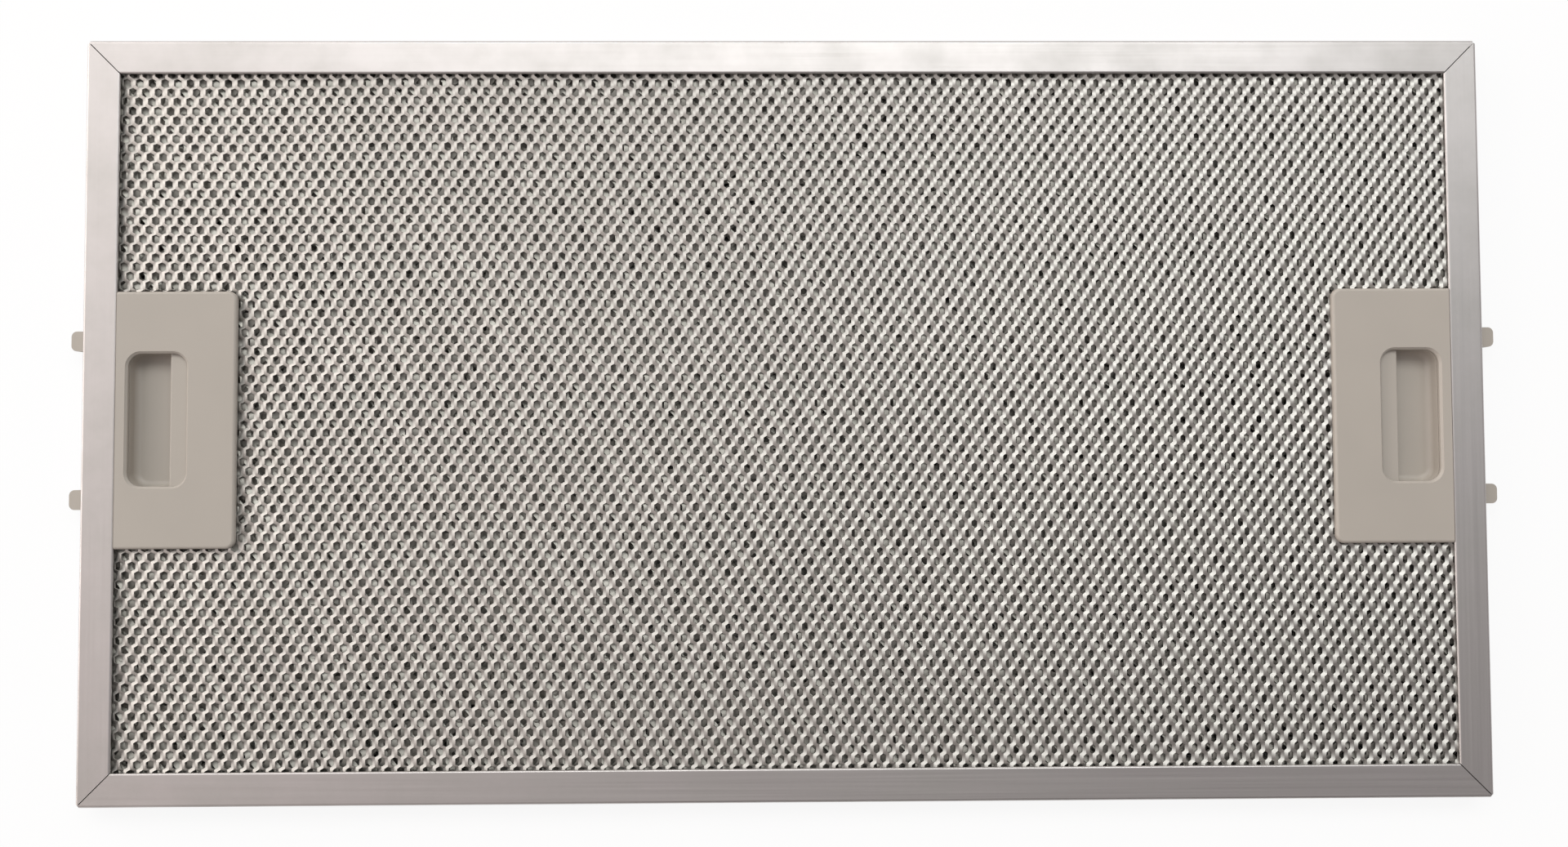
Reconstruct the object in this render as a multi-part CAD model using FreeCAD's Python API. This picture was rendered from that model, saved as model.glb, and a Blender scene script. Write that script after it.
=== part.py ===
"""Cooker hood grease filter: an aluminium mesh cassette with two spring-latch finger pulls.

The filter lies flat, back face on z = 0 and handle side up. X runs along its long side, Y along its
short side, and the origin is the centre of its outline. All sizes are in millimetres.
"""
import FreeCAD
import Part
import math
import os

Vector = FreeCAD.Vector
ORIGIN = Vector(0, 0, 0)
UP = Vector(0, 0, 1)
NEAR = 1e-4

# Frame: one aluminium channel strip with hemmed flanges, folded round the mesh pack
frame_length = 460.0
frame_width = 250.0
frame_depth = 9.0
frame_sheet = 0.6
flange_width = 11.0
hem_return = 4.0
flange_bend_inner = 0.4
corner_bend_inner = 0.8
mitre_gap = 0.3
corner_relief_radius = 0.7
tab_length = 16.0
tab_gap = 0.1
tab_edge_clearance = 0.6
clinch_radius = 2.0
clinch_wall = 0.5
clinch_bump = 0.4

# Mesh pack: an outer expanded mesh on each face and thin expanded layers between them
pack_edge_clearance = 1.6
inner_layers = 6
outer_mesh_thickness = 1.2
outer_mesh_core = 0.5
mesh_short_pitch = 4.17
mesh_long_pitch = 6.1
strand_rows_per_ridge = 2
valley_width = 2.8
ridge_rise = 0.4
ridge_land = 0.5
mesh_gap_length = 9.0
mesh_gap_width = 2.4
mesh_gap_spacing = 35.5
ridges_per_gap_row = 3
layer_core = 0.3
layer_ridge_spacing = 18.0

# Handle cover: moulded plate with a rounded window
cover_length = 84.0
cover_reach = 38.9
cover_thickness = 1.6
cover_seam = 0.3
cover_overlap = 2.8
cover_corner_radius = 3.0
cover_edge_radius = 1.0
window_end_margin = 20.3
window_reach = 19.2
window_margin = 3.6
window_corner_radius = 4.5
window_bevel = 0.7
peg_diameter = 3.0
peg_length = 3.8
peg_clearance = 0.1

# Handle base: moulded tray under the cover, with a rim that clamps the back mesh
base_wall = 1.6
base_clearance = 0.3
base_floor_under_hem = 1.2
rim_floor_gap = 0.2
boss_diameter = 5.0
boss_sink = 0.5
outer_boss_inset = 4.7
rail_wall = 1.3

# Latch slider: plate with a finger pocket and two lugs
slide_clearance = 0.3
slider_plate = 1.4
pocket_wall = 1.2
pocket_floor = 1.2
pocket_floor_radius = 2.0
ledge_width = 6.0
ledge_edge_radius = 0.5
lug_width = 6.5
lug_edge_inset = 1.75
lug_floor_gap = 0.6
lug_reach = 5.0
lug_corner_radius = 1.8
lug_lead_in = 1.8
lug_slot_clearance = 0.3
frame_slot_clearance = 0.5
release_margin = 0.2

# Latch springs
spring_rest_length = 19.6
spring_side_clearance = 0.25
spring_wire = 0.6
spring_turns = 7
spring_seat_wall = 1.2
spring_peg_clearance = 0.3
spring_peg_length = 2.5
spring_end_clearance = 0.05

# Frame levels and radii that follow from the sheet
flange_bend = flange_bend_inner + frame_sheet
corner_bend = corner_bend_inner + frame_sheet
hem_thickness = 2 * frame_sheet

# Mesh pack levels: it fills the room between the two hems
pack_bottom = hem_thickness
pack_top = frame_depth - hem_thickness
layers_bottom = pack_bottom + outer_mesh_thickness
layer_thickness = (pack_top - pack_bottom - 2 * outer_mesh_thickness) / inner_layers
pack_half_length = frame_length / 2 - frame_sheet - pack_edge_clearance
pack_half_width = frame_width / 2 - frame_sheet - pack_edge_clearance
mesh_angle = math.atan2(mesh_long_pitch, mesh_short_pitch)
ridge_spacing = strand_rows_per_ridge * mesh_short_pitch * math.sin(mesh_angle)

# Left handle along X, from the frame's left wall inwards
left_wall = -frame_length / 2
cover_outer = left_wall + flange_width + cover_seam
cover_inner = cover_outer + cover_reach
base_outer = left_wall + frame_sheet + base_clearance
base_inner = cover_inner - cover_overlap
tray_outer = base_outer + base_wall
tray_inner = base_inner - base_wall
latch_travel = lug_reach + release_margin
slider_outer = tray_outer + slide_clearance
slider_inner = tray_inner - slide_clearance - latch_travel
window_outer = cover_outer + window_margin
window_inner = window_outer + window_reach
pocket_inner = window_inner - ledge_width
spring_seat = tray_inner - spring_rest_length

# Left handle along Y, half widths about the middle
cover_half = cover_length / 2
base_half = cover_half - cover_overlap
tray_half = base_half - base_wall
rail_outer = tray_half - boss_diameter
slider_half = rail_outer - rail_wall - slide_clearance
window_half = cover_half - window_end_margin
pocket_half = window_half + pocket_wall
spring_offset = (pocket_half + slider_half) / 2
boss_offset = tray_half - boss_diameter / 2 + boss_sink
lug_offset = slider_half - lug_edge_inset - lug_width / 2

# Left handle along Z
cover_top = pack_top + cover_thickness
slider_top = pack_top - slide_clearance
plate_bottom = slider_top - slider_plate
pocket_bottom = pack_bottom + slide_clearance
lug_bottom = pack_bottom + base_floor_under_hem + lug_floor_gap
spring_level = (pack_bottom + plate_bottom) / 2
spring_diameter = plate_bottom - pack_bottom - 2 * spring_side_clearance
spring_peg_diameter = spring_diameter - 2 * (spring_wire + spring_peg_clearance)

boss_places = []
for boss_x in (cover_outer + outer_boss_inset, tray_inner - boss_diameter / 2 + boss_sink):
    for boss_y in (-boss_offset, boss_offset):
        boss_places.append((boss_x, boss_y))


def block(x_low, x_high, y_low, y_high, z_low, z_high):
    """A box between two corners."""
    return Part.makeBox(x_high - x_low, y_high - y_low, z_high - z_low, Vector(x_low, y_low, z_low))


def rounded(solid, radius, picked):
    """The solid with its upright edges rounded where picked(edge box) is true."""
    edges = []
    for edge in solid.Edges:
        box = edge.BoundBox
        if box.XLength < NEAR and box.YLength < NEAR and picked(box):
            edges.append(edge)
    return solid.makeFillet(radius, edges)


def rounded_block(x_low, x_high, y_low, y_high, z_low, z_high, radius):
    """A box with its four upright edges rounded."""
    return rounded(block(x_low, x_high, y_low, y_high, z_low, z_high), radius, lambda box: True)


def line(start, end):
    """A straight edge."""
    return Part.LineSegment(start, end).toShape()


def bend(start, corner, end):
    """A quarter circle from start to end that rounds off the corner."""
    centre = start + end - corner
    middle = centre + (corner - centre) * ((start - centre).Length / (corner - centre).Length)
    return Part.Arc(start, middle, end).toShape()


def channel_half(level):
    """Edges of the channel section from the outer wall over one flange to the inner wall.

    level(height) turns a height below the flange's outer face into a point's z.
    """
    def at(inwards, height):
        return Vector(inwards, 0, level(height))

    fold_start = flange_width - frame_sheet
    hem_end = flange_width - hem_return
    return [
        bend(at(0, flange_bend), at(0, 0), at(flange_bend, 0)),
        line(at(flange_bend, 0), at(fold_start, 0)),
        Part.Arc(at(fold_start, 0), at(flange_width, frame_sheet), at(fold_start, hem_thickness)).toShape(),
        line(at(fold_start, hem_thickness), at(hem_end, hem_thickness)),
        line(at(hem_end, hem_thickness), at(hem_end, frame_sheet)),
        line(at(hem_end, frame_sheet), at(flange_bend, frame_sheet)),
        bend(at(flange_bend, frame_sheet), at(frame_sheet, frame_sheet), at(frame_sheet, flange_bend)),
    ]


def channel_bar(side_length):
    """One mitred side of the frame, along Y, with its outer wall on x = 0."""
    front = channel_half(lambda height: frame_depth - height)
    back = channel_half(lambda height: height)
    wall_low = flange_bend
    wall_high = frame_depth - flange_bend
    outer_wall = line(Vector(0, 0, wall_low), Vector(0, 0, wall_high))
    inner_wall = line(Vector(frame_sheet, 0, wall_low), Vector(frame_sheet, 0, wall_high))
    section = Part.Face(Part.Wire(Part.__sortEdges__([outer_wall] + front + [inner_wall] + back)))
    bar = section.extrude(Vector(0, side_length, 0))
    bar.translate(Vector(0, -side_length / 2, 0))
    end = side_length / 2 - mitre_gap / math.sqrt(2)
    plan = Part.makePolygon([
        Vector(0, -end, 0),
        Vector(flange_width, flange_width - end, 0),
        Vector(flange_width, end - flange_width, 0),
        Vector(0, end, 0),
        Vector(0, -end, 0),
    ])
    return bar.common(Part.Face(plan).extrude(Vector(0, 0, frame_depth)))


def corner_ring(centre_x, centre_y, side_x, side_y, z_low, z_high):
    """The wall bent a quarter turn round a corner, on the given sides of its centre."""
    height = z_high - z_low
    base = Vector(centre_x, centre_y, z_low)
    ring = Part.makeCylinder(corner_bend, height, base)
    ring = ring.cut(Part.makeCylinder(corner_bend_inner, height, base))
    x_ends = sorted((centre_x, centre_x + side_x * corner_bend))
    y_ends = sorted((centre_y, centre_y + side_y * corner_bend))
    return ring.common(block(x_ends[0], x_ends[1], y_ends[0], y_ends[1], z_low, z_high))


def make_frame():
    """The folded strip: four mitred sides, three bent corners and a clinched tab at the fourth."""
    half_length = frame_length / 2
    half_width = frame_width / 2
    end_bar = channel_bar(frame_width).translated(Vector(-half_length, 0, 0))
    side_bar = channel_bar(frame_length).translated(Vector(-half_width, 0, 0))
    bars = [
        end_bar,
        end_bar.rotated(ORIGIN, UP, 180),
        side_bar.rotated(ORIGIN, UP, 90),
        side_bar.rotated(ORIGIN, UP, -90),
    ]
    rounded_outline = rounded_block(
        -half_length, half_length, -half_width, half_width, 0, frame_depth, corner_bend)
    bars = [bar.common(rounded_outline) for bar in bars]

    # The top side's wall stops short of the closing corner, where it bends into the tab
    tab_outer = half_length - frame_sheet - tab_gap
    tab_bend_x = tab_outer - corner_bend
    tab_bend_y = half_width - corner_bend
    bars[3] = bars[3].cut(block(
        tab_bend_x, half_length, tab_bend_y, half_width, flange_bend, frame_depth - flange_bend))
    tab_low = flange_bend + tab_edge_clearance
    tab_high = frame_depth - tab_low
    tab = block(tab_outer - frame_sheet, tab_outer, tab_bend_y - tab_length, tab_bend_y, tab_low, tab_high)
    tab_ring = corner_ring(tab_bend_x, tab_bend_y, 1, 1, tab_low, tab_high)

    rings = []
    for side_x, side_y in ((-1, -1), (1, -1), (-1, 1)):
        rings.append(corner_ring(
            side_x * (half_length - corner_bend), side_y * (half_width - corner_bend),
            side_x, side_y, flange_bend, frame_depth - flange_bend))

    # The clinch presses the wall into the tab: a round dimple outside, a round bump inside
    clinch_y = tab_bend_y - tab_length / 2
    clinch_inner = tab_outer - frame_sheet - clinch_bump
    clinch_start = Vector(clinch_inner, clinch_y, frame_depth / 2)
    along_x = Vector(1, 0, 0)
    button = Part.makeCylinder(clinch_radius, half_length - frame_sheet - clinch_inner, clinch_start, along_x)
    dimple_start = clinch_start + along_x * clinch_wall
    dimple = Part.makeCylinder(
        clinch_radius - clinch_wall, half_length - clinch_inner, dimple_start, along_x)

    frame = bars[0].fuse(bars[1:] + rings + [tab, tab_ring, button]).cut(dimple)

    cuts = []
    relief_inset = corner_bend * (1 - math.sqrt(0.5))
    for side_x in (-1, 1):
        for side_y in (-1, 1):
            x = side_x * (half_length - relief_inset)
            y = side_y * (half_width - relief_inset)
            for z in (0, frame_depth - flange_bend):
                cuts.append(Part.makeCylinder(corner_relief_radius, flange_bend, Vector(x, y, z)))
    slot_half = lug_width / 2 + frame_slot_clearance
    for side_x in (-1, 1):
        wall_ends = sorted((side_x * half_length, side_x * (half_length - frame_sheet)))
        for lug_y in (-lug_offset, lug_offset):
            cuts.append(block(
                wall_ends[0], wall_ends[1], lug_y - slot_half, lug_y + slot_half,
                lug_bottom - frame_slot_clearance, plate_bottom + frame_slot_clearance))
    return frame.cut(Part.makeCompound(cuts)).removeSplitter()


def pack_panel(z_low, z_high):
    """The mesh pack's outline, notched for the two handle bases."""
    panel = block(-pack_half_length, pack_half_length, -pack_half_width, pack_half_width, z_low, z_high)
    notch_inner = base_inner + base_clearance
    notch_half = base_half + base_clearance
    left_notch = block(-pack_half_length, notch_inner, -notch_half, notch_half, z_low, z_high)
    return panel.cut([left_notch, left_notch.rotated(ORIGIN, UP, 180)])


def strand_axes(lean):
    """Unit vectors along and across the strands, which lean right (1) or left (-1) from X."""
    along = Vector(math.cos(mesh_angle), lean * math.sin(mesh_angle), 0)
    across = Vector(-lean * math.sin(mesh_angle), math.cos(mesh_angle), 0)
    return along, across


def ridged_sheet(flat_z, valley_z, crest_z, spacing, slope_start, lean):
    """A sheet that is flat on one face and has leaning ridges on the other.

    Each ridge has a valley, a steep rise, a narrow flat crest and a long slope down to the next one.
    """
    along, across = strand_axes(lean)
    half_span = pack_half_length * abs(across.x) + pack_half_width * abs(across.y)
    half_run = pack_half_length * abs(along.x) + pack_half_width * abs(along.y)
    count = math.ceil(half_span / spacing) + 1
    profile = [(-count * spacing, flat_z)]
    for ridge in range(-count, count):
        start = ridge * spacing
        profile.append((start, valley_z))
        profile.append((start + slope_start - ridge_land - ridge_rise, valley_z))
        profile.append((start + slope_start - ridge_land, crest_z))
        profile.append((start + slope_start, crest_z))
    profile.append((count * spacing, valley_z))
    profile.append((count * spacing, flat_z))
    points = [across * place - along * half_run + UP * level for place, level in profile]
    section = Part.Face(Part.makePolygon(points + points[:1]))
    ridges = section.extrude(along * (2 * half_run))
    return ridges.common(pack_panel(min(flat_z, crest_z), max(flat_z, crest_z))).removeSplitter()


def in_open_field(place):
    """True where a mesh gap lies clear of the flanges and of the handle covers."""
    room = mesh_gap_length
    x = abs(place.x)
    y = abs(place.y)
    inside = x < frame_length / 2 - flange_width - room and y < frame_width / 2 - flange_width - room
    beside_cover = x < -cover_inner - room or y > cover_half + room
    return inside and beside_cover


def mesh_gaps(z_low, z_high):
    """Slanted openings in the valleys between the ridges, staggered from row to row."""
    along, across = strand_axes(1)
    other_strand, _ = strand_axes(-1)
    half_run = along * (mesh_gap_length / 2)
    half_end = other_strand * (mesh_gap_width / 2 / abs(other_strand.dot(across)))
    rows = math.ceil((frame_length + frame_width) / ridge_spacing / ridges_per_gap_row / 2)
    columns = math.ceil((frame_length + frame_width) / mesh_gap_spacing / 2)
    gaps = []
    for row in range(-rows, rows + 1):
        stagger = 0.5 * (row % 2)
        for column in range(-columns, columns + 1):
            centre = across * (row * ridges_per_gap_row * ridge_spacing + valley_width / 2)
            centre = centre + along * ((column + stagger) * mesh_gap_spacing)
            if not in_open_field(centre):
                continue
            corners = [
                centre + half_run + half_end,
                centre - half_run + half_end,
                centre - half_run - half_end,
                centre + half_run - half_end,
            ]
            corners = [corner + UP * z_low for corner in corners]
            plan = Part.Face(Part.makePolygon(corners + corners[:1]))
            gaps.append(plan.extrude(UP * (z_high - z_low)))
    return gaps


def outer_mesh(flat_z, outwards):
    """An outer mesh sheet, ridged on its outer face; outwards is 1 for the front, -1 for the back."""
    valley_z = flat_z + outwards * outer_mesh_core
    crest_z = flat_z + outwards * outer_mesh_thickness
    slope_start = valley_width + ridge_rise + ridge_land
    sheet = ridged_sheet(flat_z, valley_z, crest_z, ridge_spacing, slope_start, 1)
    return sheet.cut(Part.makeCompound(mesh_gaps(min(flat_z, crest_z), max(flat_z, crest_z))))


def inner_layer(number):
    """One thin layer, counted from the back, its ridges crossing those of the layers beside it.

    Its openings lie in line with those of the outer meshes, so that air passes straight through the pack.
    """
    flat_z = layers_bottom + number * layer_thickness
    crest_z = flat_z + layer_thickness
    lean = 1 if number % 2 else -1
    sheet = ridged_sheet(
        flat_z, flat_z + layer_core, crest_z, layer_ridge_spacing, layer_ridge_spacing / 2, lean)
    return sheet.cut(Part.makeCompound(mesh_gaps(flat_z, crest_z)))


def make_cover():
    """Moulded plate over the handle, with rounded free edges, a bevelled window and four pegs."""
    plate = block(cover_outer, cover_inner, -cover_half, cover_half, pack_top, cover_top)
    plate = rounded(plate, cover_corner_radius, lambda box: box.XMin > cover_inner - NEAR)
    free_edges = []
    for edge in plate.Edges:
        box = edge.BoundBox
        if box.ZMin > cover_top - NEAR and box.XMax > cover_outer + NEAR:
            free_edges.append(edge)
    plate = plate.makeFillet(cover_edge_radius, free_edges)
    plate = plate.cut(rounded_block(
        window_outer, window_inner, -window_half, window_half, pack_top, cover_top, window_corner_radius))
    window_edges = []
    for edge in plate.Edges:
        box = edge.BoundBox
        in_window = box.XMin > window_outer - NEAR and box.XMax < window_inner + NEAR
        if box.ZMin > cover_top - NEAR and in_window:
            window_edges.append(edge)
    plate = plate.makeChamfer(window_bevel, window_edges)
    pegs = []
    for x, y in boss_places:
        pegs.append(Part.makeCylinder(peg_diameter / 2, peg_length, Vector(x, y, pack_top - peg_length)))
    return plate.fuse(pegs).removeSplitter()


def make_base():
    """Moulded tray that sits in the pack's notch, with a back rim, guide rails and hollow bosses."""
    body = block(base_outer, base_inner, -base_half, base_half, pack_bottom, pack_top)
    rim = block(cover_outer, cover_inner, -cover_half, cover_half, rim_floor_gap, pack_bottom)
    rim = rounded(rim, cover_corner_radius, lambda box: box.XMin > cover_inner - NEAR)
    floor_step = cover_outer + base_floor_under_hem
    upper_room = block(
        tray_outer, tray_inner, -tray_half, tray_half, pack_bottom + base_floor_under_hem, pack_top)
    deep_room = block(floor_step, tray_inner, -tray_half, tray_half, pack_bottom, pack_top)
    tray = body.cut([upper_room, deep_room]).fuse(rim)

    rails = []
    for y_ends in ((-rail_outer, rail_wall - rail_outer), (rail_outer - rail_wall, rail_outer)):
        rails.append(block(tray_outer, tray_inner, y_ends[0], y_ends[1], pack_bottom, slider_top))
    bosses = []
    bores = []
    for x, y in boss_places:
        foot = Vector(x, y, pack_bottom)
        height = pack_top - pack_bottom
        bosses.append(Part.makeCylinder(boss_diameter / 2, height, foot))
        bores.append(Part.makeCylinder(peg_diameter / 2 + peg_clearance, height, foot))
    pegs = []
    for y in (-spring_offset, spring_offset):
        start = Vector(tray_inner, y, spring_level)
        pegs.append(Part.makeCylinder(spring_peg_diameter / 2, spring_peg_length, start, Vector(-1, 0, 0)))
    slots = []
    slot_half = lug_width / 2 + lug_slot_clearance
    for y in (-lug_offset, lug_offset):
        slots.append(block(
            base_outer, tray_outer, y - slot_half, y + slot_half,
            lug_bottom - lug_slot_clearance, plate_bottom + lug_slot_clearance))
    return tray.fuse(rails + bosses + pegs).cut(bores + slots).removeSplitter()


def make_lug(y):
    """One latch lug: rounded in plan, with a lead-in slope on the side that enters the hood first."""
    tip = left_wall - lug_reach
    root = window_outer
    lug = block(tip, root, y - lug_width / 2, y + lug_width / 2, lug_bottom, plate_bottom)
    lug = rounded(lug, lug_corner_radius, lambda box: box.XMax < tip + NEAR)
    wedge = Part.Face(Part.makePolygon([
        Vector(tip, y - lug_width / 2, lug_bottom),
        Vector(tip + lug_lead_in, y - lug_width / 2, lug_bottom),
        Vector(tip, y - lug_width / 2, lug_bottom + lug_lead_in),
        Vector(tip, y - lug_width / 2, lug_bottom),
    ])).extrude(Vector(0, lug_width, 0))
    return lug.cut(wedge)


def make_slider():
    """Sliding plate with a finger pocket, a pull ledge, two lugs and two spring seats."""
    plate = block(slider_outer, slider_inner, -slider_half, slider_half, plate_bottom, slider_top)
    tub = rounded_block(
        window_outer - pocket_wall, window_inner + pocket_wall, -pocket_half, pocket_half,
        pocket_bottom, slider_top, window_corner_radius + pocket_wall)
    tub = tub.common(block(
        window_outer - pocket_wall, pocket_inner + pocket_wall, -pocket_half, pocket_half,
        pocket_bottom, slider_top))
    hollow_bottom = pocket_bottom + pocket_floor
    hollow = rounded_block(
        window_outer, window_inner, -window_half, window_half, hollow_bottom, slider_top,
        window_corner_radius)
    hollow = hollow.common(block(
        window_outer, pocket_inner, -window_half, window_half, hollow_bottom, slider_top))
    floor_edges = [edge for edge in hollow.Edges if edge.BoundBox.ZMax < hollow_bottom + NEAR]
    hollow = hollow.makeFillet(pocket_floor_radius, floor_edges)
    seats = []
    for side in (-1, 1):
        y_ends = sorted((side * (pocket_half - pocket_wall / 2), side * slider_half))
        seats.append(block(
            spring_seat - spring_seat_wall, spring_seat, y_ends[0], y_ends[1], pocket_bottom, plate_bottom))
        start = Vector(spring_seat, side * spring_offset, spring_level)
        seats.append(Part.makeCylinder(spring_peg_diameter / 2, spring_peg_length, start, Vector(1, 0, 0)))
    lugs = [make_lug(-lug_offset), make_lug(lug_offset)]
    slider = plate.fuse([tub] + seats + lugs).cut(hollow).removeSplitter()
    ledge_edges = []
    for edge in slider.Edges:
        box = edge.BoundBox
        on_ledge = box.XMin > pocket_inner - NEAR and box.XMax < pocket_inner + NEAR
        if on_ledge and box.ZMin > slider_top - NEAR:
            ledge_edges.append(edge)
    return slider.makeFillet(ledge_edge_radius, ledge_edges)


def make_spring(y):
    """Compression spring from the slider's seat to the tray's inner wall."""
    coil_length = spring_rest_length - spring_wire - 2 * spring_end_clearance
    mean_radius = (spring_diameter - spring_wire) / 2
    path = Part.Wire(Part.makeHelix(coil_length / spring_turns, coil_length, mean_radius))
    start = Vector(mean_radius, 0, 0)
    slope = Vector(0, 2 * math.pi * mean_radius, coil_length / spring_turns)
    section = Part.Wire(Part.makeCircle(spring_wire / 2, start, slope))
    coil = path.makePipeShell([section], True, True)
    coil.rotate(ORIGIN, Vector(0, 1, 0), 90)
    coil.translate(Vector(spring_seat + spring_end_clearance + spring_wire / 2, y, spring_level))
    return coil


nodes = {"frame": make_frame()}
nodes["back_mesh"] = outer_mesh(layers_bottom, -1)
for layer in range(inner_layers):
    nodes["filter_layer_%d" % (layer + 1)] = inner_layer(layer)
nodes["front_mesh"] = outer_mesh(pack_top - outer_mesh_thickness, 1)

# The right handle is the left one turned half round
left_handle = {
    "handle_base": make_base(),
    "latch_slider": make_slider(),
    "spring_upper": make_spring(spring_offset),
    "spring_lower": make_spring(-spring_offset),
    "handle_cover": make_cover(),
}
for name, shape in left_handle.items():
    nodes["left_" + name] = shape
turned = {"spring_upper": "spring_lower", "spring_lower": "spring_upper"}
for name, shape in left_handle.items():
    nodes["right_" + turned.get(name, name)] = shape.rotated(ORIGIN, UP, 180)

os.makedirs("parts", exist_ok=True)
for name, shape in nodes.items():
    shape.exportStep("parts/" + name + ".step")
    print(name, len(shape.Solids), "solid", shape.isValid(), round(shape.Volume, 1), "mm3")
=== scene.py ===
"""Cooker hood grease filter: mitred aluminium frame, pack of expanded mesh and two spring-latch handles."""

import bpy
import numpy as np
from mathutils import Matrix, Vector


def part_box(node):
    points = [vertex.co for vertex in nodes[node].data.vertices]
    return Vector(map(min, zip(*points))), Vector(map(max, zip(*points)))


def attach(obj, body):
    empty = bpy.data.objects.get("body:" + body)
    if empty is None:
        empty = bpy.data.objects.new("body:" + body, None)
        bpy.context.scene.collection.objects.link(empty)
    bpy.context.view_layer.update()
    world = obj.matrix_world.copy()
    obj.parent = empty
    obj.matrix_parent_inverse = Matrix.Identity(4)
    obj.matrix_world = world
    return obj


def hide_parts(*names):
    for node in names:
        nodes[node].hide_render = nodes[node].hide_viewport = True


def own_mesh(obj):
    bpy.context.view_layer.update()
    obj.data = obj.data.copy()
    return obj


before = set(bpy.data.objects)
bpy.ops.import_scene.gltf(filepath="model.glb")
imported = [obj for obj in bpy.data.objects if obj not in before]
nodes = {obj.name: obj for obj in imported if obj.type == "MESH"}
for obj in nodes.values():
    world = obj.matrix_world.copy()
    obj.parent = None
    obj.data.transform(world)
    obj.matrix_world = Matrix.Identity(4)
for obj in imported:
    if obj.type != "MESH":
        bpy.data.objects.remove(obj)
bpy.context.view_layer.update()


# Frame: one roll-formed strip of aluminium channel, folded round three mitred corners and clinched at the
# fourth. The rolls leave faint lines along each bar, and handling leaves duller marks. Satin anodising over
# them spreads the light into one soft gradient along each bar.

def linear(hex_colour):
    """An sRGB hex colour as linear RGBA: each channel goes through the sRGB curve."""
    channels = [int(hex_colour[i:i + 2], 16) / 255 for i in (1, 3, 5)]
    return [c / 12.92 if c <= 0.04045 else ((c + 0.055) / 1.055) ** 2.4 for c in channels] + [1.0]


def add(tree, kind, inputs=None, **settings):
    """Adds a node, sets its properties and fills its inputs with values or with links from other sockets."""
    made = tree.nodes.new(kind)
    for name, value in settings.items():
        setattr(made, name, value)
    for key, value in (inputs or {}).items():
        if isinstance(value, bpy.types.NodeSocket):
            tree.links.new(value, made.inputs[key])
        else:
            made.inputs[key].default_value = value
    return made


def dress(node_names, material):
    """Puts a material on every slot of the named CAD nodes."""
    for node_name in node_names:
        for slot in nodes[node_name].material_slots:
            slot.material = material


frame_half_length = 0.230
frame_half_width = 0.125
roll_line = 0.0008     # real lines are near 0.1 mm, drawn coarser so that they show
roll_line_run = 0.090
roll_line_depth = 0.00004
handling_mark = 0.022
handling_dulls = 0.06

anodised = bpy.data.materials.new("satin_anodised_aluminium")
anodised.use_nodes = True
tree = anodised.node_tree
coords = add(tree, "ShaderNodeTexCoord")
spot = add(tree, "ShaderNodeSeparateXYZ", {"Vector": coords.outputs["Object"]})
away_x = add(tree, "ShaderNodeMath", {0: spot.outputs["X"]}, operation="ABSOLUTE")
away_y = add(tree, "ShaderNodeMath", {0: spot.outputs["Y"]}, operation="ABSOLUTE")
from_end = add(tree, "ShaderNodeMath", {0: frame_half_length, 1: away_x.outputs[0]}, operation="SUBTRACT")
from_side = add(tree, "ShaderNodeMath", {0: frame_half_width, 1: away_y.outputs[0]}, operation="SUBTRACT")
on_side_bar = add(tree, "ShaderNodeMath", {
    0: from_side.outputs[0], 1: from_end.outputs[0]}, operation="LESS_THAN")
along_x = add(tree, "ShaderNodeMapping", {
    "Vector": coords.outputs["Object"], "Scale": (1 / roll_line_run, 1 / roll_line, 1 / roll_line)})
along_y = add(tree, "ShaderNodeMapping", {
    "Vector": coords.outputs["Object"], "Scale": (1 / roll_line, 1 / roll_line_run, 1 / roll_line)})
along_bar = add(tree, "ShaderNodeMix", {
    0: on_side_bar.outputs[0], 4: along_y.outputs[0], 5: along_x.outputs[0]}, data_type="VECTOR")
lines = add(tree, "ShaderNodeTexNoise", {
    "Vector": along_bar.outputs[1], "Scale": 1.0, "Detail": 3.0, "Roughness": 0.6})
marks = add(tree, "ShaderNodeTexNoise", {
    "Vector": coords.outputs["Object"], "Scale": 1 / handling_mark, "Detail": 4.0, "Roughness": 0.65})
worn = add(tree, "ShaderNodeMapRange", {
    "Value": marks.outputs["Fac"], "From Min": 0.35, "From Max": 0.7, "To Min": 0.0, "To Max": 1.0})
tone = add(tree, "ShaderNodeMix", {
    0: worn.outputs[0], 6: linear("#cbc7c5"), 7: linear("#c0bdba")}, data_type="RGBA")
lined = add(tree, "ShaderNodeMapRange", {
    "Value": lines.outputs["Fac"], "From Min": 0.3, "From Max": 0.7, "To Min": 0.38, "To Max": 0.47})
rough = add(tree, "ShaderNodeMath", {
    0: worn.outputs[0], 1: handling_dulls, 2: lined.outputs[0]}, operation="MULTIPLY_ADD")
relief = add(tree, "ShaderNodeBump", {
    "Height": lines.outputs["Fac"], "Strength": 0.12, "Distance": roll_line_depth})
shell = tree.nodes["Principled BSDF"]
shell.inputs["Metallic"].default_value = 1.0
tree.links.new(tone.outputs[2], shell.inputs["Base Color"])
tree.links.new(rough.outputs[0], shell.inputs["Roughness"])
tree.links.new(relief.outputs[0], shell.inputs["Normal"])
dress(["frame"], anodised)


# Outer meshes: aluminium sheet slit in rows and stretched, so that every strand tips over and the holes open.
# One lies on each face of the pack, held under the frame's hems and between each handle's base and cover.
# Sizes are in millimetres up to the finished points.

pack_half_length = 222.5
pack_half_width = 117.5
notch_start = 182.3
notch_half_width = 39.5
row_bow = 0.28
row_spread = 0.22
turn_bow = 0.30
turn_spread = 0.18


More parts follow.
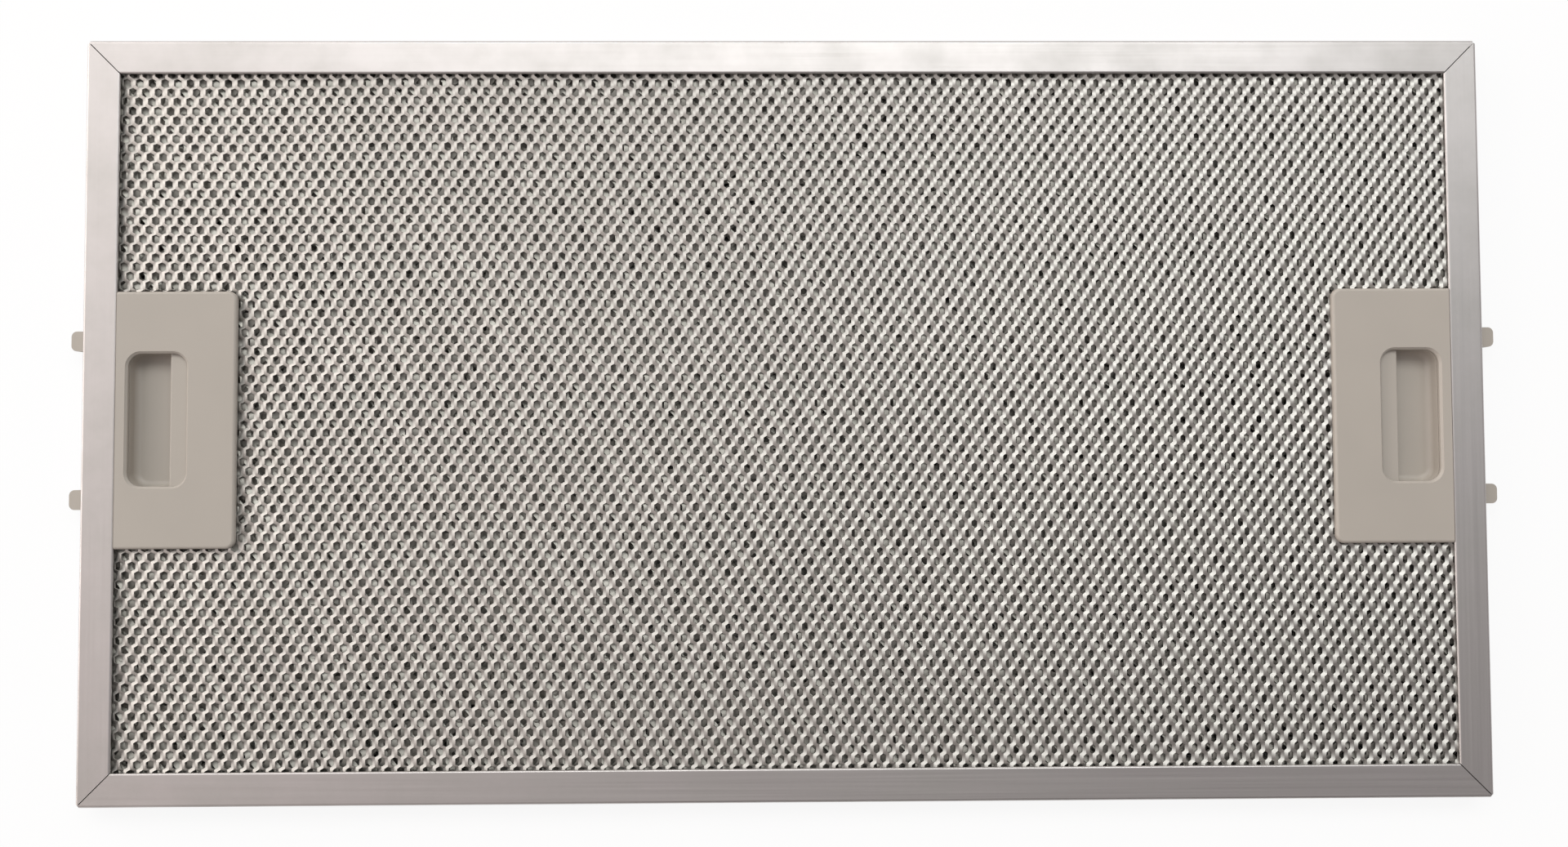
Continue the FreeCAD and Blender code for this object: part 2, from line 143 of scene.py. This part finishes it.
def expanded_sheet(name, material, spread, strand_run, short_pitch, long_pitch, strand, tilt, thick, bond,
                   slip, middle, face):
    """Expanded sheet as one closed band of three sides for each strand.

    A strand runs along one axis and steps sideways by u, a trapezoid wave of one long pitch: +1 where it is
    joined to the next strand, -1 where it is joined to the one before, with flats as long as the bond.
    Strands take turns in sign. Its middle lies at (j + 1/2) half pitches plus u times what leaves room for
    the joined widths, and sinks by u times half its own rise, so that the tipped faces of joined strands
    meet edge to edge. The face has the strand's width along (cos tilt, sin tilt), and the third corner lies
    one sheet thickness behind its far edge. At each bend, the face's two edges move apart along the run by
    half the width times the tangent of half the turn, so that the strand keeps its width on the slope.
    Four slow sine waves, out of step with each other, pull the sheet out of true as stretching does.
    """
    across_half = pack_half_length if strand_run == "y" else pack_half_width
    along_half = pack_half_width if strand_run == "y" else pack_half_length
    count = int(4 * across_half / short_pitch)
    turns = int(2 * along_half / long_pitch) + 2
    strand_number = np.arange(count)[:, None]
    turn_number = np.repeat(np.arange(turns), 4)
    flats = np.tile([-bond / 2, bond / 2, long_pitch / 2 - bond / 2, long_pitch / 2 + bond / 2], turns)
    run = (turn_number - (turns - 1) / 2 - 0.25) * long_pitch + flats + slip
    inside = np.abs(run) <= along_half
    sign = np.where(strand_number % 2, -1, 1)
    step = np.tile([1, 1, -1, -1], turns)[None, inside] * sign
    bend = np.tile([-1, 1, 1, -1], turns)[None, inside] * sign
    c, s = np.cos(tilt), np.sin(tilt)
    swing = short_pitch / 4 - strand * c / 2
    slope = np.arctan2(2 * swing, long_pitch / 2 - bond)
    across = (strand_number + 0.5 - count / 2) * short_pitch / 2 + step * swing
    along = np.broadcast_to(run[None, inside], across.shape)
    spare = bend * strand * c / 2 * np.tan(slope / 2)
    height = -step * strand * s / 2
    edge = strand * c / 2
    rise = strand * s / 2
    x = np.stack([across - edge, across + edge, across + edge + thick * s], -1)
    y = np.stack([along - spare, along + spare, along + spare], -1)
    z = np.stack([height - rise, height + rise, height + rise - thick * c], -1)
    slow = 2 * np.pi / spread
    pulled_x = x + row_bow * np.sin(slow * y + 0.7) + row_spread * np.sin(slow * 0.61 * x + 1.9)
    pulled_y = y + turn_bow * np.sin(slow * 0.83 * x + 0.4) + turn_spread * np.sin(slow * 1.7 * y + 2.6)
    if strand_run == "x":
        x, y = -pulled_y, pulled_x
    else:
        x, y = pulled_x, pulled_y
    points = np.stack([x, y * face, middle + face * z], -1)

    in_notch = ((np.abs(x) > notch_start) & (np.abs(y) < notch_half_width)).any(-1)
    kept = ~(in_notch[:, :-1] | in_notch[:, 1:])
    opens = kept & ~np.pad(kept, ((0, 0), (1, 0)))[:, :-1]
    closes = kept & ~np.pad(kept, ((0, 0), (0, 1)))[:, 1:]
    index = np.arange(points[..., 0].size).reshape(points.shape[:3])
    near, far = index[:, :-1], index[:, 1:]
    sides = [np.stack([near[..., a], near[..., b], far[..., b], far[..., a]], -1)[kept]
             for a, b in ((0, 1), (1, 2), (2, 0))]
    caps = [near[opens][:, [0, 2, 1]], far[closes][:, [0, 1, 2]]]
    quads, ends = np.concatenate(sides), np.concatenate(caps)
    used, corners = np.unique(np.concatenate([quads.ravel(), ends.ravel()]), return_inverse=True)
    sizes = np.concatenate([np.full(len(quads), 4), np.full(len(ends), 3)])
    made = band_mesh(name, points.reshape(-1, 3)[used] / 1000, corners, sizes, material)
    edge_ends = np.empty(2 * len(made.data.edges), np.int32)
    made.data.edges.foreach_get("vertices", edge_ends)
    edge_corners = (used % 3)[edge_ends.reshape(-1, 2)]
    cut_edges = made.data.attributes.new("sharp_edge", "BOOLEAN", "EDGE")
    cut_edges.data.foreach_set("value", edge_corners[:, 0] == edge_corners[:, 1])
    made.data.polygons.foreach_set("use_smooth", np.ones(len(sizes), bool))
    return made


def band_mesh(name, points, corners, sizes, material):
    """An object at the origin from points in metres, all faces' corners in a row, and each face's count."""
    mesh = bpy.data.meshes.new(name)
    mesh.vertices.add(len(points))
    mesh.vertices.foreach_set("co", points.astype(np.float32).ravel())
    mesh.loops.add(len(corners))
    mesh.loops.foreach_set("vertex_index", corners.astype(np.int32).ravel())
    mesh.polygons.add(len(sizes))
    mesh.polygons.foreach_set("loop_start", np.concatenate([[0], np.cumsum(sizes)[:-1]]).astype(np.int32))
    mesh.update(calc_edges=True)
    mesh.validate()
    mesh.materials.append(material)
    made = bpy.data.objects.new(name, mesh)
    bpy.context.collection.objects.link(made)
    return made


# Mill finish is bare rolled metal. Its fine shear marks spread the gleam of each tipped strand into a dull
# spot, and it turns slightly greyer in patches.
mesh_patch = 0.016
cut_grain = 0.0012     # real shear marks are finer, drawn coarser so that they show
cut_grain_depth = 0.00006

mill_finish = bpy.data.materials.new("mill_finish_expanded_aluminium")
mill_finish.use_nodes = True
tree = mill_finish.node_tree
coords = add(tree, "ShaderNodeTexCoord")
patches = add(tree, "ShaderNodeTexNoise", {
    "Vector": coords.outputs["Object"], "Scale": 1 / mesh_patch, "Detail": 3.0, "Roughness": 0.6})
grain = add(tree, "ShaderNodeTexNoise", {
    "Vector": coords.outputs["Object"], "Scale": 1 / cut_grain, "Detail": 2.0, "Roughness": 0.6})
tone = add(tree, "ShaderNodeMix", {
    0: patches.outputs["Fac"], 6: linear("#c1bfba"), 7: linear("#b7b5b0")}, data_type="RGBA")
rough = add(tree, "ShaderNodeMapRange", {
    "Value": grain.outputs["Fac"], "From Min": 0.3, "From Max": 0.7, "To Min": 0.44, "To Max": 0.54})
relief = add(tree, "ShaderNodeBump", {
    "Height": grain.outputs["Fac"], "Strength": 0.2, "Distance": cut_grain_depth})
shell = tree.nodes["Principled BSDF"]
shell.inputs["Metallic"].default_value = 1.0
tree.links.new(tone.outputs[2], shell.inputs["Base Color"])
tree.links.new(rough.outputs[0], shell.inputs["Roughness"])
tree.links.new(relief.outputs[0], shell.inputs["Normal"])

outer_tilt = np.radians(24)
for name, middle, face, slip in (("back_mesh", 1.70, -1, 0.9), ("front_mesh", 7.30, 1, 0.0)):
    sheet = expanded_sheet(
        name + "_strands", mill_finish, spread=118, strand_run="y", short_pitch=4.17, long_pitch=6.1,
        strand=1.18, tilt=outer_tilt, thick=0.4, bond=2.45, slip=slip, middle=middle, face=face)
    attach(sheet, "filter")
    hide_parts(name)


# Inner layers: six sheets of thinner, wider expanded foil, laid crosswise on each other between the outer
# meshes. They are only stacked, so their strands fall behind the outer holes at random and make some of
# them paler. Slitting crumples the thin foil, so it looks pale and soft, with no clear gleam.

bright_foil = bpy.data.materials.new("bright_expanded_foil")
bright_foil.use_nodes = True
tree = bright_foil.node_tree
coords = add(tree, "ShaderNodeTexCoord")
patches = add(tree, "ShaderNodeTexNoise", {
    "Vector": coords.outputs["Object"], "Scale": 1 / mesh_patch, "Detail": 3.0, "Roughness": 0.6})
tone = add(tree, "ShaderNodeMix", {
    0: patches.outputs["Fac"], 6: linear("#c2c0b8"), 7: linear("#a09e97")}, data_type="RGBA")
rough = add(tree, "ShaderNodeMapRange", {
    "Value": patches.outputs["Fac"], "From Min": 0.3, "From Max": 0.7, "To Min": 0.52, "To Max": 0.66})
shell = tree.nodes["Principled BSDF"]
shell.inputs["Metallic"].default_value = 1.0
tree.links.new(tone.outputs[2], shell.inputs["Base Color"])
tree.links.new(rough.outputs[0], shell.inputs["Roughness"])

foil_tilt = np.radians(20)
for number, (run, short_pitch, long_pitch, slip) in enumerate((
        ("x", 6.1, 8.9, 0.3), ("y", 5.9, 8.6, 1.7), ("x", 6.4, 8.3, 2.9),
        ("y", 6.2, 9.1, 0.8), ("x", 5.8, 8.7, 1.2), ("y", 6.3, 8.5, 2.2)), 1):
    lean = foil_tilt if run == "x" else -foil_tilt
    name = "filter_layer_" + str(number)
    low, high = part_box(name)
    sheet = expanded_sheet(
        name + "_strands", bright_foil, spread=70 + 13 * number, strand_run=run, short_pitch=short_pitch,
        long_pitch=long_pitch, strand=1.8, tilt=lean, thick=0.14, bond=2.8, slip=slip,
        middle=500 * (low[2] + high[2]), face=1)
    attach(sheet, "filter")
    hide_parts(name)


# Latch springs: two coils of zinc-plated wire behind each slider, seated on pegs, with a closed turn at each
# end. They press the lugs out through the frame and close up as the latch is pulled. The plating gives the
# wire a bluish gleam with a faint cloudy bloom.

spring_wire = 0.0006
spring_turns = 7
turn_steps = 28
wire_sides = 10
closed_pitch = 1.1 * spring_wire
plating_bloom = 0.0015

zinc = bpy.data.materials.new("zinc_plated_spring_wire")
zinc.use_nodes = True
tree = zinc.node_tree
coords = add(tree, "ShaderNodeTexCoord")
bloom = add(tree, "ShaderNodeTexNoise", {
    "Vector": coords.outputs["Object"], "Scale": 1 / plating_bloom, "Detail": 3.0, "Roughness": 0.6})
tone = add(tree, "ShaderNodeMix", {
    0: bloom.outputs["Fac"], 6: linear("#c9cbcc"), 7: linear("#a9acae")}, data_type="RGBA")
rough = add(tree, "ShaderNodeMapRange", {
    "Value": bloom.outputs["Fac"], "From Min": 0.3, "From Max": 0.7, "To Min": 0.22, "To Max": 0.38})
shell = tree.nodes["Principled BSDF"]
shell.inputs["Metallic"].default_value = 1.0
tree.links.new(tone.outputs[2], shell.inputs["Base Color"])
tree.links.new(rough.outputs[0], shell.inputs["Roughness"])


def coil_spring(name, low, high):
    """A tube of wire on a coil along X: angle t gives (cos t, sin t) about the axis. x rises slowly in the
    first and last turn, which lie closed, and evenly between them. Both ends are capped."""
    radius = (high[1] - low[1] - spring_wire) / 2
    steps = spring_turns * turn_steps + 1
    turn = np.linspace(0, spring_turns, steps)
    run_low, run_high = low[0] + spring_wire / 2, high[0] - spring_wire / 2
    rise = np.interp(turn, [0, 1, spring_turns - 1, spring_turns],
                     [run_low, run_low + closed_pitch, run_high - closed_pitch, run_high])
    t = 2 * np.pi * turn
    spoke = np.stack([0 * t, np.cos(t), np.sin(t)], -1)
    axis = np.stack([rise, 0 * t + (low[1] + high[1]) / 2, 0 * t + (low[2] + high[2]) / 2], -1)
    middle = axis + radius * spoke
    ahead = np.gradient(middle, axis=0)
    ahead /= np.linalg.norm(ahead, axis=1)[:, None]
    side = np.cross(ahead, spoke)
    angle = np.linspace(0, 2 * np.pi, wire_sides, endpoint=False)
    points = middle[:, None] + spring_wire / 2 * (
        np.cos(angle)[None, :, None] * spoke[:, None] + np.sin(angle)[None, :, None] * side[:, None])
    index = np.arange(steps * wire_sides).reshape(steps, wire_sides)
    next_side = np.roll(index, -1, axis=1)
    quads = np.stack([index[:-1], next_side[:-1], next_side[1:], index[1:]], -1).reshape(-1, 4)
    caps = np.concatenate([index[0, ::-1], index[-1]])
    sizes = np.concatenate([np.full(len(quads), 4), [wire_sides, wire_sides]])
    made = band_mesh(name, points.reshape(-1, 3), np.concatenate([quads.ravel(), caps]), sizes, zinc)
    made.data.polygons.foreach_set("use_smooth", np.ones(len(sizes), bool))
    return made


for side, seat in (("left", 1), ("right", 0)):
    for place_name in ("upper", "lower"):
        name = side + "_spring_" + place_name
        low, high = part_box(name)
        spring = coil_spring(name + "_coil", low, high)
        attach(spring, "filter")
        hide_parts(name)
        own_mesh(spring)


# Handles: base, latch slider and cover of each handle, injection moulded in grey-beige ABS and pinned
# together through the mesh. A spark-eroded mould leaves a fine matt grain, which gives a soft even tone,
# with faint flow marks where the plastic filled the plate.

mould_grain = 0.0009   # real grain is near 0.2 mm, drawn coarser so that it shows
mould_grain_depth = 0.00005
flow_mark = 0.030

moulded = bpy.data.materials.new("moulded_abs_grey_beige")
moulded.use_nodes = True
tree = moulded.node_tree
coords = add(tree, "ShaderNodeTexCoord")
flow = add(tree, "ShaderNodeTexNoise", {
    "Vector": coords.outputs["Object"], "Scale": 1 / flow_mark, "Detail": 3.0, "Roughness": 0.55})
grain = add(tree, "ShaderNodeTexNoise", {
    "Vector": coords.outputs["Object"], "Scale": 1 / mould_grain, "Detail": 2.0, "Roughness": 0.6})
tone = add(tree, "ShaderNodeMix", {
    0: flow.outputs["Fac"], 6: linear("#b2aba1"), 7: linear("#a8a299")}, data_type="RGBA")
rough = add(tree, "ShaderNodeMapRange", {
    "Value": grain.outputs["Fac"], "From Min": 0.3, "From Max": 0.7, "To Min": 0.42, "To Max": 0.58})
relief = add(tree, "ShaderNodeBump", {
    "Height": grain.outputs["Fac"], "Strength": 0.15, "Distance": mould_grain_depth})
shell = tree.nodes["Principled BSDF"]
shell.inputs["IOR"].default_value = 1.54
tree.links.new(tone.outputs[2], shell.inputs["Base Color"])
tree.links.new(rough.outputs[0], shell.inputs["Roughness"])
tree.links.new(relief.outputs[0], shell.inputs["Normal"])
for side in ("left", "right"):
    dress([side + "_handle_base", side + "_latch_slider", side + "_handle_cover"], moulded)


# Floor: plain white board that the filter lies on. It shows white where it is looked at or mirrored, and
# keeps part of its own shading for a soft contact shadow. Under the mesh pack it has only the light that
# comes through the pack.

board_half = 4.0
board_level = -0.0003
shown_white = 0.87

board = bpy.data.materials.new("white_board")
board.use_nodes = True
tree = board.node_tree
tree.nodes.clear()
sight = add(tree, "ShaderNodeLightPath")
seen = add(tree, "ShaderNodeMath", {
    0: sight.outputs["Is Camera Ray"], 1: sight.outputs["Is Glossy Ray"]}, operation="MAXIMUM")
seen = add(tree, "ShaderNodeMath", {
    0: seen.outputs[0], 1: sight.outputs["Is Transmission Ray"]}, operation="MAXIMUM")
coords = add(tree, "ShaderNodeTexCoord")
spot = add(tree, "ShaderNodeSeparateXYZ", {"Vector": coords.outputs["Object"]})
away_x = add(tree, "ShaderNodeMath", {0: spot.outputs["X"]}, operation="ABSOLUTE")
away_y = add(tree, "ShaderNodeMath", {0: spot.outputs["Y"]}, operation="ABSOLUTE")
past_end = add(tree, "ShaderNodeMath", {
    0: away_x.outputs[0], 1: pack_half_length / 1000}, operation="GREATER_THAN")
past_side = add(tree, "ShaderNodeMath", {
    0: away_y.outputs[0], 1: pack_half_width / 1000}, operation="GREATER_THAN")
outside = add(tree, "ShaderNodeMath", {0: past_end.outputs[0], 1: past_side.outputs[0]}, operation="MAXIMUM")
seen = add(tree, "ShaderNodeMath", {0: seen.outputs[0], 1: outside.outputs[0]}, operation="MINIMUM")
share = add(tree, "ShaderNodeMath", {0: seen.outputs[0], 1: shown_white}, operation="MULTIPLY")
matt = add(tree, "ShaderNodeBsdfDiffuse", {"Color": linear("#f7f7f7")})
lit = add(tree, "ShaderNodeEmission", {"Color": (1, 1, 1, 1), "Strength": 1.0})
both = add(tree, "ShaderNodeMixShader", {0: share.outputs[0], 1: matt.outputs[0], 2: lit.outputs[0]})
add(tree, "ShaderNodeOutputMaterial", {"Surface": both.outputs[0]})
board_corners = np.array([[-board_half, -board_half, board_level], [board_half, -board_half, board_level],
                          [board_half, board_half, board_level], [-board_half, board_half, board_level]])
floor = band_mesh("floor", board_corners, np.arange(4), np.array([4]), board)


# Light: a pale room that is darker on the near side, with a warm glow from the left, a long glow on the far
# ceiling that is drawn out along X, and a pale horizon. One soft box hangs over the far edge and one stands
# low on the left, for the gleam on the flange and on the tipped strands.

world = bpy.data.worlds.new("pale_studio")
world.use_nodes = True
bpy.context.scene.world = world
tree = world.node_tree
tree.nodes.clear()
look = add(tree, "ShaderNodeTexCoord")
way = add(tree, "ShaderNodeSeparateXYZ", {"Vector": look.outputs["Generated"]})
by_depth = add(tree, "ShaderNodeMapRange", {
    "Value": way.outputs["Y"], "From Min": -0.75, "From Max": -0.25, "To Min": 0.08, "To Max": 0.28})
near_horizon = add(tree, "ShaderNodeMapRange", {
    "Value": way.outputs["Z"], "From Min": 0.0, "From Max": 0.45, "To Min": 0.55, "To Max": 0.0})
to_left = add(tree, "ShaderNodeVectorMath", {
    0: look.outputs["Generated"], 1: (-1.0, 0.0, 0.0)}, operation="DOT_PRODUCT")
left_side = add(tree, "ShaderNodeMapRange", {
    "Value": to_left.outputs["Value"], "From Min": 0.0, "From Max": 1.0, "To Min": 0.0, "To Max": 0.82})
drawn_in = add(tree, "ShaderNodeVectorMath", {
    0: look.outputs["Generated"], 1: (0.5, 1.0, 1.0)}, operation="MULTIPLY")
drawn_in = add(tree, "ShaderNodeVectorMath", {0: drawn_in.outputs[0]}, operation="NORMALIZE")
to_far_ceiling = add(tree, "ShaderNodeVectorMath", {
    0: drawn_in.outputs[0], 1: (0.0, 0.5, 0.866)}, operation="DOT_PRODUCT")
far_ceiling = add(tree, "ShaderNodeMapRange", {
    "Value": to_far_ceiling.outputs["Value"],
    "From Min": 0.72, "From Max": 1.0, "To Min": 0.0, "To Max": 0.95})
far_ceiling = add(tree, "ShaderNodeMath", {0: far_ceiling.outputs[0], 1: 2.0}, operation="POWER")
room = add(tree, "ShaderNodeBackground", {
    "Color": (1.0, 0.90, 0.91, 1), "Strength": by_depth.outputs[0]})
low_glow = add(tree, "ShaderNodeBackground", {
    "Color": (1.0, 0.98, 0.97, 1), "Strength": near_horizon.outputs[0]})
left_glow = add(tree, "ShaderNodeBackground", {
    "Color": (1.0, 0.87, 0.83, 1), "Strength": left_side.outputs[0]})
far_glow = add(tree, "ShaderNodeBackground", {
    "Color": (0.92, 1.0, 1.0, 1), "Strength": far_ceiling.outputs[0]})
glows = add(tree, "ShaderNodeAddShader", {0: left_glow.outputs[0], 1: far_glow.outputs[0]})
walls = add(tree, "ShaderNodeAddShader", {0: room.outputs[0], 1: low_glow.outputs[0]})
all_round = add(tree, "ShaderNodeAddShader", {0: walls.outputs[0], 1: glows.outputs[0]})
add(tree, "ShaderNodeOutputWorld", {"Surface": all_round.outputs[0]})


def soft_box(name, place, aim, width, height, radiance, colour):
    """A rectangular area lamp at a place, turned to its aim, with a power that gives the wanted radiance."""
    lamp = bpy.data.lights.new(name, "AREA")
    lamp.shape = "RECTANGLE"
    lamp.size = width
    lamp.size_y = height
    lamp.energy = radiance * np.pi * width * height
    lamp.color = colour
    made = bpy.data.objects.new(name, lamp)
    bpy.context.collection.objects.link(made)
    made.location = place
    made.rotation_euler = (Vector(aim) - Vector(place)).to_track_quat("-Z", "Y").to_euler()


soft_box("far_soft_box", place=(0.1, 0.95, 1.25), aim=(0, 0, 0), width=1.7, height=0.6, radiance=3.1,
         colour=(1.0, 1.0, 0.99))
soft_box("left_soft_box", place=(-1.5, 0.5, 0.6), aim=(0, 0, 0), width=2.0, height=0.7, radiance=2.4,
         colour=(1.0, 0.95, 0.91))


# Camera: close above the middle of the filter, looking down on it and tipped by about two degrees, so that
# the outline is nearly level and only a little wider at the near edge.

view = bpy.data.cameras.new("camera")
view.sensor_width = 36.0
view.lens = 28.12
view.clip_start = 0.02
camera = bpy.data.objects.new("camera", view)
bpy.context.collection.objects.link(camera)
camera.location = (-0.00616, -0.01626, 0.40969)
camera.rotation_euler = np.radians((2.044, -0.690, -0.252))
bpy.context.scene.camera = camera
bpy.context.scene.view_settings.view_transform = "Standard"
